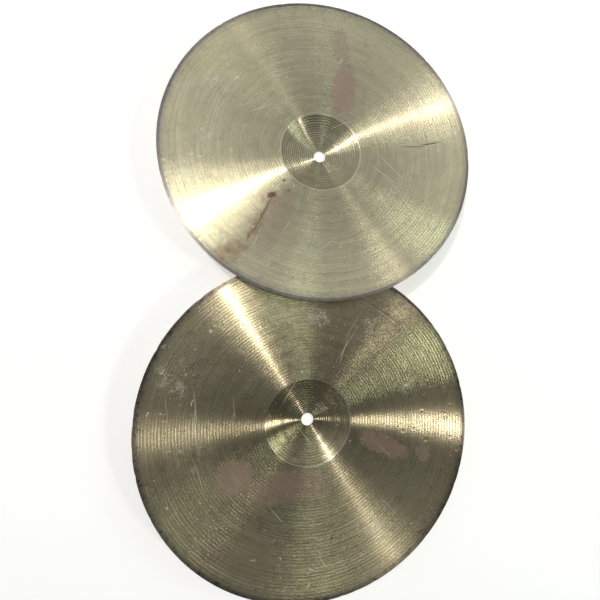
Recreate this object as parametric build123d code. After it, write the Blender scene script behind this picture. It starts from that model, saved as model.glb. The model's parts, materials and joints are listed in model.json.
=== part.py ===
from build123d import *

# A matched pair of hand cymbals, lying crown down with their hollow faces up.
#
# The lower cymbal stands level on the small flat land round its strap hole. The upper one stands on the
# same land, tipped a little, with its underside leaning on the lower one's rim.
#
# Frame, in millimetres: the origin is the centre of the lower cymbal's strap hole, on the surface that the
# pair lies on. +Z is up, along that hole, and +Y runs from the lower cymbal to the upper one.

import os
from math import asin, atan2, cos, degrees, hypot, sin, sqrt

# One cymbal, measured with its crown down and its hollow face up
rim_radius = 178.0
hole_radius = 7.0
land_radius = 10.0  # flat land round the strap hole, on both faces
bell_radius = 47.0  # where the bell meets the bow
bell_rise = 11.0
bow_rise = 13.2  # from the bell's edge to the rim
bell_wall = 1.5
bow_wall = 1.4  # beside the bell
rim_wall = 1.1  # beside the edge bevel
edge_wall = 0.6
edge_bevel = 3.5  # width of the plain band round the hollow face
bell_fold = 6.0  # radius of the fold between the bell and the bow
edge_round = 0.25
hole_round = 0.35

# The pair
centre_distance = 309.5
rest_gap = 0.3  # left between the two cymbals where one leans on the other


def height_on_arc(radius, start, end):
    """Height at a radius on the arc through two (radius, height) points whose centre is on the axis."""
    (r1, z1), (r2, z2) = start, end
    centre = (r2**2 + z2**2 - r1**2 - z1**2) / (2 * (z2 - z1))
    arc_radius = hypot(r1, centre - z1)
    return centre - sqrt(arc_radius**2 - radius**2)


def bow_arc(start, end):
    """The bow's arc between two (radius, height) points."""
    middle = (start[0] + end[0]) / 2
    return ThreePointArc(start, (middle, height_on_arc(middle, start, end)), end)


# The two ends of the bow on the domed face, and on the hollow face
dome_bow = ((bell_radius, bell_rise), (rim_radius, bell_rise + bow_rise))
bevel_start = rim_radius - edge_bevel
hollow_bow = (
    (bell_radius, bell_rise + bow_wall),
    (bevel_start, height_on_arc(bevel_start, *dome_bow) + rim_wall),
)


def cymbal():
    """One cymbal, turned from a single sheet, crown down with the strap hole on the Z axis."""
    dome_rim = dome_bow[1]
    hollow_edge = (rim_radius, dome_rim[1] + edge_wall)
    dome_land = (land_radius, 0)
    hollow_land = (land_radius, bell_wall)
    outline = [
        Line((hole_radius, 0), dome_land),
        TangentArc(dome_land, dome_bow[0], tangent=(1, 0)),
        bow_arc(*dome_bow),
        Line(dome_rim, hollow_edge),
        Line(hollow_edge, hollow_bow[1]),
        bow_arc(*hollow_bow),
        TangentArc(hollow_land, hollow_bow[0], tangent=(1, 0)),
        Line(hollow_land, (hole_radius, bell_wall)),
        Line((hole_radius, bell_wall), (hole_radius, 0)),
    ]
    profile = Sketch() + make_face(outline)
    for corner, radius in (
        (dome_bow[0], bell_fold),
        (hollow_bow[0], bell_fold),
        (dome_rim, edge_round),
        (hollow_edge, edge_round),
        ((hole_radius, bell_wall), hole_round),
    ):
        profile = fillet(profile.vertices().sort_by_distance((*corner, 0))[0], radius)
    return revolve(Plane.XZ * profile, axis=Axis.Z)


def lean_angle():
    """Tilt, in radians, of a cymbal pivoting on its land's far edge and leaning on the other one's rim."""
    reach = centre_distance - rim_radius  # from the leaning cymbal's axis to the edge under it
    along = reach + land_radius
    above = height_on_arc(reach, *dome_bow)
    target = dome_bow[1][1] + edge_wall + rest_gap
    return asin(target / hypot(along, above)) - atan2(above, along)


def leaning_place():
    """Where the upper cymbal lies."""
    tilt = lean_angle()
    return Pos(0, centre_distance, land_radius * sin(tilt)) * Rot(X=-degrees(tilt))


def main():
    os.makedirs("parts", exist_ok=True)
    one = cymbal()
    upper = leaning_place() * one
    export_step(one, "parts/lower_cymbal.step")
    export_step(upper, "parts/upper_cymbal.step")
    print("lean angle", round(degrees(lean_angle()), 3), "degrees")
    print("one cymbal", round(one.volume / 1000, 1), "cm3")


main()
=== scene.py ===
import json
import math

import bpy
import numpy as np
from mathutils import Matrix, Vector


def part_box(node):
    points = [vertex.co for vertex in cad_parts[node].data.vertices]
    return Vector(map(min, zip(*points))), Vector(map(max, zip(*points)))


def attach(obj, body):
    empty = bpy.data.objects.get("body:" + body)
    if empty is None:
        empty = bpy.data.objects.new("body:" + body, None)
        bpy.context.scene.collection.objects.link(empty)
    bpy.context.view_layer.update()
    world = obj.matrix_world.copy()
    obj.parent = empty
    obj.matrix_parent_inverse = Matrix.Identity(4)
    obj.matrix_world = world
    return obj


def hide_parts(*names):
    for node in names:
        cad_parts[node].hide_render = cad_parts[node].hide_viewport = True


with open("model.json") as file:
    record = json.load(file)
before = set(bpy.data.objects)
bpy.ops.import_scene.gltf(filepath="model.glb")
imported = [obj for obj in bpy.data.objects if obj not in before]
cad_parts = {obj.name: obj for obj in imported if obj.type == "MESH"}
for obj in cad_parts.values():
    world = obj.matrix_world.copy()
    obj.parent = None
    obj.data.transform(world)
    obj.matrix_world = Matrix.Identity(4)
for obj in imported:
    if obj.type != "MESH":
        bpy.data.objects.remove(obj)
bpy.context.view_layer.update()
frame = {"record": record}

# ---------------------------------------------------------------- sizes of the sheet, in metres

low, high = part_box("lower_cymbal")
RIM_RADIUS = (high.x - low.x) / 2
HEIGHT = high.z - low.z
HOLE_RADIUS = 0.007
LAND_RADIUS = 0.010
BELL_RADIUS = 0.047
BELL_RISE = 0.011
BELL_WALL = 0.0015
BOW_WALL = 0.0014
RIM_WALL = 0.0011
EDGE_WALL = 0.0006
BAND_WIDTH = 0.0035

AROUND = 480  # points in each ring of the mesh

# ---------------------------------------------------------------- marks of the lathe, in millimetres

BELL_CUT = 2.4  # pitch of the turning rings in the bell
GROOVES = ((1.13, 0.22), (0.83, 0.14))  # pitch and steepness of each set of fine grooves
BELL_FADE = (46.0, 47.5)  # radii between which the bell's look gives way to the bow's
BELL_LINE = 47.6  # radius of the bright line round the bell
BAND_FADE = (174.2, 174.9)  # radii between which the dull band at the rim begins
MARK_DEPTH = 0.00004  # depth of the small round marks, in metres
ROUGHNESS = 0.245


# ---------------------------------------------------------------- the turned sheet

def bow_height(radius, start, end):
    """Height of the arc through two (radius, height) points that is centred on the axis."""
    (r1, z1), (r2, z2) = start, end
    centre = (r2**2 + z2**2 - r1**2 - z1**2) / (2 * (z2 - z1))
    return centre - np.sqrt((r1**2 + (centre - z1) ** 2) - radius**2)


def bell_height(radius, floor, rise):
    """Height of the bell, which leaves the flat land level."""
    run = BELL_RADIUS - LAND_RADIUS
    size = (run**2 + rise**2) / (2 * rise)
    reach = np.clip(radius - LAND_RADIUS, 0, size)
    return floor + size - np.sqrt(size**2 - reach**2)


def joined(bell, bow, fold=0.0003):
    """The bell inside and the bow outside, with a rounded fold between them."""
    return -fold * np.logaddexp(-bell / fold, -bow / fold)


DOME_RIM = (RIM_RADIUS, HEIGHT - EDGE_WALL)
BAND_START = RIM_RADIUS - BAND_WIDTH
HOLLOW_RIM = (BAND_START, float(bow_height(BAND_START, (BELL_RADIUS, BELL_RISE), DOME_RIM)) + RIM_WALL)


def dome_face(radius):
    bow = bow_height(radius, (BELL_RADIUS, BELL_RISE), DOME_RIM)
    return joined(bell_height(radius, 0.0, BELL_RISE), bow)


def hollow_face(radius):
    bow = bow_height(radius, (BELL_RADIUS, BELL_RISE + BOW_WALL), HOLLOW_RIM)
    return joined(bell_height(radius, BELL_WALL, BELL_RISE + BOW_WALL - BELL_WALL), bow)


def profile():
    """Radius, height and face of each ring of the mesh, once round the section.

    The face is 1 on the hollow side, -1 on the domed side and 0 on the edges between them.
    """
    top, bottom = HEIGHT, HEIGHT - EDGE_WALL
    hole_edge = [(0, 0.0001), (0, 0.0007), (0, BELL_WALL - 0.00035)]
    hole_edge += [(0.0001, BELL_WALL - 0.0001), (0.00035, BELL_WALL)]
    bell = np.linspace(HOLE_RADIUS + 0.0008, BELL_RADIUS + 0.003, 66)
    bow = np.linspace(BELL_RADIUS + 0.004, BAND_START, 100)
    band = [(0.0022, HOLLOW_RIM[1] + 0.00003), (0.0008, top - 0.00001)]
    rim_edge = [(0.00025, top), (0.00006, top - 0.0001), (0, top - 0.0003), (0.00006, bottom + 0.0001)]
    under_bow = np.linspace(BAND_START, BELL_RADIUS + 0.004, 24)
    under_bell = np.linspace(BELL_RADIUS + 0.003, LAND_RADIUS, 20)

    rings = [(HOLE_RADIUS + past, height, 0) for past, height in hole_edge]
    rings += [(r, float(hollow_face(r)), 1) for r in np.concatenate([bell, bow])]
    rings += [(RIM_RADIUS - inset, height, 1) for inset, height in band]
    rings += [(RIM_RADIUS - inset, height, 0) for inset, height in rim_edge]
    rings += [(RIM_RADIUS - 0.0003, bottom, -1)]
    rings += [(r, float(dome_face(r)), -1) for r in np.concatenate([under_bow, under_bell])]
    rings += [(HOLE_RADIUS + 0.0003, 0.0, -1)]
    return np.array(rings)


def dents(seed, count, x, y):
    """Depth of round hammer marks scattered over the bow."""
    random = np.random.default_rng(seed)
    depth = np.zeros_like(x)
    for _ in range(count):
        radius = math.sqrt(random.uniform(0.055**2, 0.17**2))
        angle = random.uniform(0, 2 * math.pi)
        size = random.uniform(0.0022, 0.0042)
        deep = random.uniform(0.00001, 0.00003)
        away = (x - radius * math.cos(angle)) ** 2 + (y - radius * math.sin(angle)) ** 2
        depth += deep * np.exp(-away / size**2)
    return depth


def nicks(seed, count, angle):
    """How far small chips cut into the rim at each angle."""
    random = np.random.default_rng(seed)
    cut = np.zeros_like(angle)
    for _ in range(count):
        middle = random.uniform(0, 2 * math.pi)
        deep = random.uniform(0.0001, 0.0006)
        wide = random.uniform(0.008, 0.02)
        away = np.angle(np.exp(1j * (angle - middle)))
        cut = np.maximum(cut, deep * np.exp(-((away / wide) ** 2)))
    return cut


def cymbal_mesh(name, seed, dent_count, nick_count):
    """One cymbal as a closed lathed mesh in its own frame, crown down, axis along Z."""
    rings = profile()
    angle = np.linspace(0, 2 * math.pi, AROUND, endpoint=False)
    radius, height, face = (rings[:, i : i + 1] + 0 * angle for i in range(3))
    near_rim = np.clip((radius - (RIM_RADIUS - 0.002)) / 0.002, 0, 1)
    radius = radius - near_rim * nicks(seed, nick_count, angle)
    x, y = radius * np.cos(angle), radius * np.sin(angle)

    two_fold, three_fold = np.random.default_rng(seed).uniform(0, 2 * math.pi, 2)
    warp = 0.00005 * np.sin(2 * angle + two_fold) + 0.00003 * np.sin(3 * angle + three_fold)
    height += (radius / RIM_RADIUS) ** 2 * warp
    height -= np.where(face > 0, dents(seed, dent_count, x, y), 0)
    in_bell = np.clip((BELL_RADIUS - 0.001 - radius) / 0.003, 0, 1)
    in_bell *= np.clip((radius - LAND_RADIUS) / 0.002, 0, 1)
    height += np.where(face > 0, in_bell * 0.00003 * np.sin(2000 * math.pi * radius / BELL_CUT), 0)

    points = np.stack([x, y, height], -1).reshape(-1, 3)
    count = len(rings)
    faces = []
    for i in range(count):
        j = (i + 1) % count
        for k in range(AROUND):
            m = (k + 1) % AROUND
            faces.append((i * AROUND + k, i * AROUND + m, j * AROUND + m, j * AROUND + k))
    mesh = bpy.data.meshes.new(name)
    mesh.from_pydata(points.tolist(), [], faces)
    mesh.validate()
    mesh.shade_smooth()
    shape = bpy.data.objects.new(name, mesh)
    bpy.context.scene.collection.objects.link(shape)
    return shape


class Place:
    """Where a cymbal lies: its strap hole's centre on the domed face, and its own X, Y and Z directions."""

    def __init__(self, mount_name, inset):
        mount = next(m for m in frame["record"]["mounts"] if m["name"] == mount_name)
        self.z = Vector(mount["axis"]).normalized()
        self.x = Vector((1, 0, 0))
        self.y = self.z.cross(self.x)
        self.centre = Vector(mount["pos_m"]) - self.z * inset

    def matrix(self):
        turn = Matrix((self.x, self.y, self.z)).transposed().to_4x4()
        return Matrix.Translation(self.centre) @ turn


# ---------------------------------------------------------------- materials

class Paint:
    """Short names for the nodes of one material."""

    def __init__(self, name):
        self.material = bpy.data.materials.new(name)
        self.material.use_nodes = True
        self.tree = self.material.node_tree
        self.tree.nodes.clear()

    def node(self, kind, inputs=(), **settings):
        made = self.tree.nodes.new(kind)
        for key, value in settings.items():
            setattr(made, key, value)
        for key, value in dict(inputs).items():
            self.put(made.inputs[key], value)
        return made

    def put(self, socket, value):
        if isinstance(value, bpy.types.NodeSocket):
            self.tree.links.new(value, socket)
        elif socket.type == "RGBA":
            socket.default_value = (*value, 1.0)
        else:
            socket.default_value = value

    def math(self, operation, a, b=0.0, c=0.0):
        return self.node("ShaderNodeMath", {0: a, 1: b, 2: c}, operation=operation).outputs[0]

    def product(self, first, *others):
        for other in others:
            first = self.math("MULTIPLY", first, other)
        return first

    def most(self, first, *others):
        for other in others:
            first = self.math("MAXIMUM", first, other)
        return first

    def vector(self, operation, a, b=(0, 0, 0), c=(0, 0, 0)):
        made = self.node("ShaderNodeVectorMath", {0: a, 1: b, 2: c}, operation=operation)
        return made.outputs["Value" if operation in ("LENGTH", "DOT_PRODUCT") else "Vector"]

    def scaled(self, vector, scale):
        made = self.node("ShaderNodeVectorMath", {0: vector, "Scale": scale}, operation="SCALE")
        return made.outputs["Vector"]

    def xyz(self, x, y, z):
        return self.node("ShaderNodeCombineXYZ", {0: x, 1: y, 2: z}).outputs[0]

    def ramp(self, value, start, end, low=0.0, high=1.0):
        """low up to start, high from end, and a smooth change between."""
        inputs = {"Value": value, "From Min": start, "From Max": end, "To Min": low, "To Max": high}
        return self.node("ShaderNodeMapRange", inputs, interpolation_type="SMOOTHSTEP").outputs["Result"]

    def mix(self, share, a, b):
        """Colour a, with a share of colour b."""
        return self.node("ShaderNodeMix", {0: share, 6: a, 7: b}, data_type="RGBA").outputs[2]

    def shade(self, colour, value):
        """A colour made darker or lighter."""
        inputs = {0: 1.0, 6: colour, 7: self.xyz(value, value, value)}
        return self.node("ShaderNodeMix", inputs, data_type="RGBA", blend_type="MULTIPLY").outputs[2]

    def blend(self, share, a, b):
        """Number a, with a share of number b."""
        return self.node("ShaderNodeMix", {0: share, 2: a, 3: b}, data_type="FLOAT").outputs[0]

    def noise(self, place, scale, detail, roughness, seed):
        inputs = {"Vector": place, "W": seed, "Scale": scale, "Detail": detail, "Roughness": roughness}
        return self.node("ShaderNodeTexNoise", inputs, noise_dimensions="4D").outputs["Fac"]

    def cells(self, place, scale, randomness=1.0):
        """A random net of cells in the plane."""
        inputs = {"Vector": place, "Scale": scale, "Randomness": randomness}
        return self.node("ShaderNodeTexVoronoi", inputs, voronoi_dimensions="2D").outputs

    def stains(self, place, ovals, soft):
        """Where any of the ovals is, with an edge that is soft by that share of its size.

        Each oval is x, y, long, short (millimetres, in the cymbal's own plane), degrees and strength.
        """
        whole = 0.0
        for x, y, long, short, degrees, strength in ovals:
            turn = (0, 0, math.radians(degrees))
            inputs = {"Vector": place, "Location": (x, y, 0), "Rotation": turn, "Scale": (long, short, 1)}
            fitted = self.node("ShaderNodeMapping", inputs, vector_type="TEXTURE").outputs[0]
            oval = self.ramp(self.vector("LENGTH", fitted), 1 - soft, 1 + soft, 1.0, 0.0)
            whole = self.most(whole, self.product(oval, strength))
        return whole

    def specks(self, place, scale, size, share, seed):
        """Small round spots, one in some of the cells of a random net."""
        net = self.cells(self.vector("ADD", place, (seed * 7.0, seed * 3.0, 0.0)), scale)
        pick = self.node("ShaderNodeSeparateColor", {0: net["Color"]}).outputs
        inside = self.math("SUBTRACT", self.product(pick[1], size), net["Distance"])
        return self.product(self.ramp(inside, 0.0, size * 0.25), self.math("LESS_THAN", pick[0], share))


def scratches(seed, groups):
    """Thin straight scratches, as ovals for stains().

    Each group is x, y and spread (millimetres), degrees and a count.
    """
    random = np.random.default_rng(seed)
    ovals = []
    for x, y, spread, degrees, count in groups:
        for _ in range(count):
            middle = random.normal((x, y), spread)
            length, width = random.uniform(6, 24), random.uniform(0.28, 0.5)
            ovals.append((*middle, length, width, degrees + random.normal(0, 12), random.uniform(0.4, 1.0)))
    return ovals


RUST_RED = (0.42, 0.24, 0.15)
BURNT = (0.12, 0.06, 0.05)
CHALK_WHITE = (0.80, 0.78, 0.68)
SPOT_PALE = (0.78, 0.76, 0.62)
FLECK_PALE = (0.85, 0.82, 0.68)
PIT_DARK = (0.07, 0.05, 0.04)
LINE_BRIGHT = (0.90, 0.86, 0.70)
MARK_BRIGHT = (0.85, 0.80, 0.62)
SCRATCH_PALE = (0.80, 0.76, 0.60)
GOUGE_DARK = (0.06, 0.045, 0.04)
RIM_DIRT = (0.10, 0.06, 0.05)


class Brass(Paint):
    """Lathed brass with tarnish. Its places are millimetres in the plane of one cymbal.

    look holds the colours and the stains of that cymbal.
    """

    def __init__(self, name, where, seed, look):
        super().__init__(name)
        self.where, self.seed, self.look = where, seed, look
        position = self.node("ShaderNodeTexCoord").outputs["Object"]
        offset = self.scaled(self.vector("SUBTRACT", position, where.centre), 1000.0)
        x = self.vector("DOT_PRODUCT", offset, where.x)
        y = self.vector("DOT_PRODUCT", offset, where.y)
        self.flat = self.xyz(x, y, 0.0)
        self.radius = self.vector("LENGTH", self.flat)
        self.out = self.node("ShaderNodeSeparateXYZ", {0: self.vector("NORMALIZE", self.flat)}).outputs

        inputs = {"Vector": self.flat, "Scale": 0.16, "Detail": 5.0, "Roughness": 0.65}
        wobble = self.node("ShaderNodeTexNoise", inputs).outputs["Color"]
        shift = self.vector("MULTIPLY_ADD", wobble, (22.0, 22.0, 0.0), (-11.0, -11.0, 0.0))
        self.ragged = self.vector("ADD", self.flat, shift)
        self.torn = self.vector("ADD", self.flat, self.scaled(shift, 0.35))

        self.cloud = self.noise(self.flat, 0.022, 5.0, 0.6, seed + 7)
        self.mottle = self.noise(self.flat, 0.11, 5.0, 0.7, seed + 11)
        self.bell = self.ramp(self.radius, *BELL_FADE, 1.0, 0.0)
        self.band = self.ramp(self.radius, *BAND_FADE)
        ring = self.math("SINE", self.product(self.radius, 2 * math.pi / BELL_CUT))
        self.bell_ring = self.product(ring, self.bell)
        net = self.cells(self.flat, 0.045, 0.9)
        self.mark = self.ramp(net["Distance"], 0.05, 0.12)
        self.mark_rim = self.product(self.mark, self.ramp(net["Distance"], 0.12, 0.17, 1.0, 0.0))
        self.find_stains()

    def find_stains(self):
        """How strong each kind of stain is at a point."""
        look, seed = self.look, self.seed
        self.pink = self.stains(self.ragged, look["pink"], 0.22)
        self.brown = self.stains(self.torn, look["brown"], 0.35)
        rust = self.stains(self.ragged, look["rust"], 0.6)
        self.rust = self.product(rust, self.ramp(self.mottle, 0.38, 0.6, 0.3, 1.0))
        self.scratch = self.stains(self.flat, scratches(int(seed), look["scratches"]), 0.5)
        self.gouge = self.stains(self.flat, look["gouges"], 0.3)
        self.spots = self.specks(self.ragged, 0.07, 0.10, look["white_specks"], seed + 19)
        self.pits = self.specks(self.flat, 0.10, 0.09, look["dark_specks"], seed + 23)
        flecks = self.specks(self.torn, 0.33, 0.24, 0.14, seed + 27)
        self.flecks = self.product(flecks, self.ramp(self.cloud, 0.42, 0.62))

        scuffed = self.stains(self.ragged, look["chalk"], 0.5)
        smudge = self.ramp(self.noise(self.flat, 0.10, 6.0, 0.75, seed + 17), 0.48, 0.64, 0.0, 0.7)
        contour = self.math("SUBTRACT", self.noise(self.flat, 0.13, 4.0, 0.6, seed + 18), 0.5)
        curl = self.ramp(self.math("ABSOLUTE", contour), 0.004, 0.016, 1.0, 0.0)
        curl = self.product(curl, self.ramp(self.mottle, 0.46, 0.6))
        chips = self.specks(self.flat, 0.42, 0.42, 0.30, seed + 29)
        self.chalk = self.product(self.most(smudge, curl, chips), scuffed)

    def turned(self, around, across):
        """A place for noise that is drawn out round the axis into rings."""
        return self.xyz(self.product(self.out[0], around), self.product(self.out[1], around),
                        self.product(self.radius, across))

    def about_one(self, noise, amount):
        return self.math("MULTIPLY_ADD", self.math("SUBTRACT", noise, 0.5), amount, 1.0)

    def bare_colour(self):
        """The metal with its tarnish, the light and dark rings of the lathe, and painted light that
        brightens it towards the rim.
        """
        look, seed = self.look, self.seed
        base = self.mix(self.ramp(self.cloud, 0.36, 0.66), look["clean"], look["worn"])
        base = self.mix(self.ramp(self.mottle, 0.48, 0.74, 0.0, look["mottling"]), base, look["dark"])
        fine = self.about_one(self.noise(self.turned(1.7, 1.9), 1.0, 3.0, 0.7, seed), 1.3)
        broad = self.about_one(self.noise(self.turned(2.0, 0.13), 1.0, 4.0, 0.6, seed + 3), 0.35)
        grain = self.about_one(self.noise(self.flat, 0.8, 3.0, 0.6, seed + 13), 0.10)
        darker_bell = self.ramp(self.radius, *BELL_FADE, 0.80, 1.0)
        cuts = self.math("MULTIPLY_ADD", self.bell_ring, 0.22, darker_bell)
        # Painted light: the colour is multiplied from 0.86 at 50 mm up to 1.22 at 172 mm, brighter towards
        # the rim.
        painted_light_towards_rim = self.ramp(self.radius, 50.0, 172.0, 0.86, 1.22)
        return self.shade(base, self.product(fine, broad, grain, cuts, painted_light_towards_rim))

    def colour(self):
        """The bare metal under all that lies on it, from the first layer to the last."""
        look = self.look
        from_line = self.math("ABSOLUTE", self.math("SUBTRACT", self.radius, BELL_LINE))
        edge_fade = self.ramp(self.math("ADD", self.radius, self.product(self.mottle, 10.0)), 170.0, 184.0)
        dirt = self.noise(self.flat, 0.30, 4.0, 0.65, self.seed + 31)
        dirt = self.ramp(dirt, 0.52, 0.60, 0.0, look["dirt"])
        layers = (
            (self.product(self.pink, 0.7), look["blush"]),
            (self.product(self.rust, 0.75), RUST_RED),
            (self.brown, BURNT),
            (self.product(self.chalk, 0.95), CHALK_WHITE),
            (self.product(self.spots, 0.30), SPOT_PALE),
            (self.product(self.flecks, 0.6), FLECK_PALE),
            (self.product(self.pits, 0.8), PIT_DARK),
            (self.ramp(from_line, 0.2, 0.9, 0.55, 0.0), LINE_BRIGHT),
            (self.product(self.mark_rim, self.ramp(self.mottle, 0.4, 0.65, 0.0, 0.3)), MARK_BRIGHT),
            (self.scratch, SCRATCH_PALE),
            (self.product(self.gouge, 0.85), GOUGE_DARK),
            # Part tarnish, part painted reflection: near the rim and on the rim band the metal takes the
            # edge colour, which also stands in for the bevel's dark reflection.
            (self.product(edge_fade, 0.5), look["edge"]),
            (self.product(self.band, 0.7), look["edge"]),
            (self.product(dirt, self.ramp(self.radius, 171.0, 175.5)), RIM_DIRT),
        )
        base = self.bare_colour()
        for share, colour in layers:
            base = self.mix(share, base, colour)
        return base

    def metallic(self):
        """Less than 1 where dirt, chalk or an oxide film hides the metal."""
        film = self.most(self.chalk, self.spots, self.product(self.pink, 0.40))
        film = self.most(film, self.product(self.most(self.flecks, self.scratch), 0.6))
        film = self.most(self.product(film, 0.75), self.ramp(self.cloud, 0.3, 0.75, *self.look["haze"]))
        return self.math("SUBTRACT", 1.0, self.most(film, self.product(self.brown, 0.8)))

    def roughness(self):
        rough = self.ramp(self.mottle, 0.35, 0.8, ROUGHNESS, ROUGHNESS + 0.04)
        return self.blend(self.most(self.band, self.brown), rough, 0.42)

    def outward(self):
        """The direction away from the axis."""
        x_part, y_part = self.scaled(self.where.x, self.out[0]), self.scaled(self.where.y, self.out[1])
        inputs = {0: self.vector("ADD", x_part, y_part)}
        return self.node("ShaderNodeVectorTransform", inputs, vector_type="VECTOR",
                         convert_from="OBJECT", convert_to="WORLD").outputs[0]

    def grooved_normal(self, outward):
        """The surface direction, tipped to and fro by the grooves and by the turning rings of the bell."""
        seed = self.seed
        wander = self.product(self.noise(self.turned(1.6, 0.25), 1.0, 2.0, 0.5, seed + 41), 9.0)
        slope = 0.0
        for pitch, steepness in GROOVES:
            wave = self.math("SINE", self.math("MULTIPLY_ADD", self.radius, 2 * math.pi / pitch, wander))
            slope = self.math("MULTIPLY_ADD", wave, steepness, slope)
        slope = self.product(slope, self.math("MULTIPLY_ADD", self.bell, 0.3, 1.0))
        slope = self.math("MULTIPLY_ADD", self.bell_ring, 0.22, slope)
        slope = self.product(slope, self.math("SUBTRACT", 1.0, self.band))
        bump = self.node("ShaderNodeBump", {"Height": self.mark, "Distance": MARK_DEPTH}).outputs[0]
        return self.vector("NORMALIZE", self.vector("ADD", bump, self.scaled(outward, slope)))

    def build(self):
        outward = self.outward()
        inputs = {"Base Color": self.colour(), "Roughness": self.roughness(), "Metallic": self.metallic(),
                  "Normal": self.grooved_normal(outward), "Tangent": outward, "Anisotropic": 1.0}
        surface = self.node("ShaderNodeBsdfPrincipled", inputs)
        self.node("ShaderNodeOutputMaterial", {"Surface": surface.outputs[0]})
        return self.material


# ---------------------------------------------------------------- the two cymbals

# The entries from pink to gouges, other than scratches, are ovals for stains().
LOWER_LOOK = {
    "clean": (0.70, 0.62, 0.41),
    "worn": (0.55, 0.47, 0.32),
    "dark": (0.30, 0.25, 0.18),
    # edge: the rim band's tarnish, darkened further as a painted dark reflection of the bevel.
    "edge": (0.17, 0.145, 0.145),
    "blush": (0.44, 0.28, 0.25),
    "mottling": 0.6,
    "haze": (0.0, 0.06),
    "white_specks": 0.25,
    "dark_specks": 0.06,
    "dirt": 0.8,
    "pink": [(86, -23, 28, 11, -20, 1), (132, -30, 8, 9, 0, 0.8), (-77, -55, 20, 17, 30, 0.9),
             (-18, -68, 46, 17, 5, 0.7), (2, 118, 15, 10, 0, 0.7)],
    "brown": [(-158, -62, 2, 5, 30, 0.8), (112, -134, 4, 2, 40, 0.7)],
    "rust": [(-150, -40, 6, 16, 20, 0.5)],
    "chalk": [(2, 118, 15, 11, 0, 1), (59, 109, 10, 7, 20, 0.9), (109, 41, 9, 5, 60, 0.9),
              (-141, 45, 20, 26, 0, 0.5), (70, -110, 20, 14, 0, 0.35), (-120, -30, 20, 30, 0, 0.35)],
    "scratches": [(60, 90, 30, 60, 8), (-100, -20, 40, 100, 8), (60, -90, 40, -50, 7)],
    "gouges": [(128, -112, 5, 0.5, 25, 1), (30, -118, 3, 0.5, 70, 1)],
}
UPPER_LOOK = {
    "clean": (0.72, 0.66, 0.46),
    "worn": (0.60, 0.55, 0.39),
    "dark": (0.44, 0.40, 0.30),
    # edge: the rim band's tarnish, darkened further as a painted dark reflection of the bevel.
    "edge": (0.31, 0.28, 0.30),
    "blush": (0.50, 0.34, 0.30),
    "mottling": 0.5,
    "haze": (0.10, 0.24),
    "white_specks": 0.16,
    "dark_specks": 0.05,
    "dirt": 0.35,
    "pink": [(24, 80, 14, 32, -6, 1), (18, 132, 10, 22, 8, 0.6), (-50, -92, 14, 46, -24, 0.45)],
    "brown": [(-41, -41, 2, 2, 0, 0.7), (-35, -52, 2, 2, 40, 0.7), (-54, -60, 5, 3, 20, 0.9),
              (-61, -80, 1.6, 17, -22, 0.7), (-74, -108, 1.5, 10, -30, 0.6), (-108, 143, 8, 1.5, 35, 0.8)],
    "rust": [(-56, -64, 10, 7, 20, 0.7), (-70, -100, 6, 18, -28, 0.9), (-93, -130, 19, 10, 35, 1)],
    "chalk": [(-123, 62, 16, 8, -25, 1), (-132, 0, 10, 12, 0, 0.9), (-145, -45, 8, 12, 0, 0.8),
              (18, 116, 7, 5, 20, 1), (95, -45, 22, 16, -30, 0.3), (-10, -120, 40, 20, 0, 0.3)],
    "scratches": [(85, -35, 18, -42, 8), (-30, -110, 45, 60, 9), (20, 60, 14, 20, 4), (-110, 40, 30, 40, 5)],
    "gouges": [(112, 17, 14, 0.5, 4, 0.9), (132, 22, 12, 0.7, 12, 1)],
}


def placed(node, where, seed, dent_count, nick_count, material):
    """Puts a detailed cymbal in the place of its CAD node."""
    shape = cymbal_mesh(node + "_turned", seed, dent_count, nick_count)
    shape.data.transform(where.matrix())
    shape.data.materials.append(material)
    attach(shape, node.split("_")[0])
    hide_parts(node)


LOWER_PLACE = Place("lower_hole", 0.0)
UPPER_PLACE = Place("upper_hole", 0.0005)
LOWER_BRASS = Brass("lower_brass", LOWER_PLACE, 1.0, LOWER_LOOK).build()
placed("lower_cymbal", LOWER_PLACE, 4, 70, 26, LOWER_BRASS)
UPPER_BRASS = Brass("upper_brass", UPPER_PLACE, 61.0, UPPER_LOOK).build()
placed("upper_cymbal", UPPER_PLACE, 9, 45, 14, UPPER_BRASS)

# ---------------------------------------------------------------- floor, lights and camera

FLOOR_HALF = 4.0
FLOOR_BELOW = 0.0002
corners = [(-FLOOR_HALF, -FLOOR_HALF, 0), (FLOOR_HALF, -FLOOR_HALF, 0), (FLOOR_HALF, FLOOR_HALF, 0),
           (-FLOOR_HALF, FLOOR_HALF, 0)]
floor_mesh = bpy.data.meshes.new("floor")
floor_mesh.from_pydata(corners, [], [(0, 1, 2, 3)])
floor = bpy.data.objects.new("floor", floor_mesh)
bpy.context.scene.collection.objects.link(floor)
floor.location.z = -FLOOR_BELOW
pale = Paint("pale_floor")
pale_inputs = {"Base Color": (0.84, 0.84, 0.86), "Roughness": 0.9, "Emission Color": (0.96, 0.96, 1.0),
               "Emission Strength": 0.38}
pale_shader = pale.node("ShaderNodeBsdfPrincipled", pale_inputs)
pale.node("ShaderNodeOutputMaterial", {"Surface": pale_shader.outputs[0]})
floor_mesh.materials.append(pale.material)

AIM = Vector((0, 0.15, 0))
WARM = (1.0, 0.95, 0.84)


def soft_box(name, azimuth, elevation, distance, size, power, colour):
    """A round lamp that faces the pair. Azimuth is counted from +X towards +Y."""
    lamp = bpy.data.lights.new(name, "AREA")
    lamp.shape = "DISK"
    lamp.size = size
    lamp.energy = power
    lamp.color = colour
    holder = bpy.data.objects.new(name, lamp)
    bpy.context.scene.collection.objects.link(holder)
    a, e = math.radians(azimuth), math.radians(elevation)
    towards = Vector((math.cos(a) * math.cos(e), math.sin(a) * math.cos(e), math.sin(e)))
    holder.location = AIM + towards * distance
    holder.rotation_euler = towards.to_track_quat("Z", "Y").to_euler()


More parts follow.
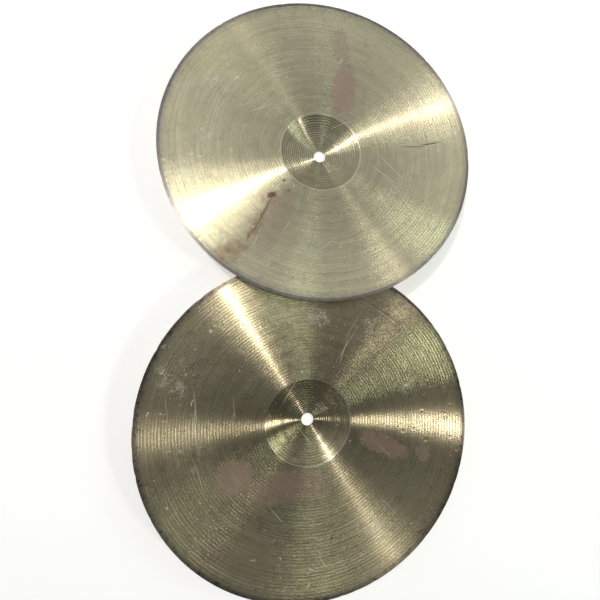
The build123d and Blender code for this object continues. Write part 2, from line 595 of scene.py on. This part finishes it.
soft_box("key", 138, 57.6, 1.5, 0.05, 5.0, WARM)
soft_box("key_glow", 138, 57.6, 1.6, 0.6, 3.8, (1.0, 0.96, 0.86))
soft_box("side", 7.5, 59, 1.5, 0.2, 0.45, WARM)
soft_box("low_side", 339, 33, 4.0, 0.40, 26, WARM)
soft_box("green_side", 5.5, 31, 1.5, 0.60, 4.0, (0.86, 1.0, 0.76))
soft_box("top", 337, 86, 1.5, 0.32, 0.5, (0.86, 1.0, 0.80))

world = bpy.data.worlds.new("studio")
world.use_nodes = True
sky = world.node_tree


def sky_fade(across, start, end, low, high):
    """Brightness that goes from low to high between two heights of one part of the view's direction."""
    fade = sky.nodes.new("ShaderNodeMapRange")
    fade.interpolation_type = "SMOOTHSTEP"
    sky.links.new(across, fade.inputs["Value"])
    for key, value in (("From Min", start), ("From Max", end), ("To Min", low), ("To Max", high)):
        fade.inputs[key].default_value = value
    return fade.outputs[0]


direction = sky.nodes.new("ShaderNodeTexCoord")
split = sky.nodes.new("ShaderNodeSeparateXYZ")
both = sky.nodes.new("ShaderNodeMath")
background = sky.nodes["Background"]
sky.links.new(direction.outputs["Generated"], split.inputs[0])
sky.links.new(sky_fade(split.outputs[0], 0.1, -0.7, 0.0, 0.20), both.inputs[0])
sky.links.new(sky_fade(split.outputs[1], -0.35, 0.50, 0.065, 0.45), both.inputs[1])
sky.links.new(both.outputs[0], background.inputs["Strength"])
background.inputs["Color"].default_value = (0.97, 1.0, 0.97, 1)
bpy.context.scene.world = world
bpy.context.scene.view_settings.view_transform = "Standard"

CAMERA_PLACE = (-0.05102, 0.11257, 0.35084)
CAMERA_TURN = (3.36, -7.588, 2.73)  # degrees
lens = bpy.data.cameras.new("camera")
lens.sensor_width = 36
lens.lens = 18.17
lens.shift_x = -0.0135
lens.shift_y = 0.0009
lens.clip_start = 0.01
camera = bpy.data.objects.new("camera", lens)
camera.location = CAMERA_PLACE
camera.rotation_euler = [math.radians(a) for a in CAMERA_TURN]
bpy.context.scene.collection.objects.link(camera)
bpy.context.scene.camera = camera
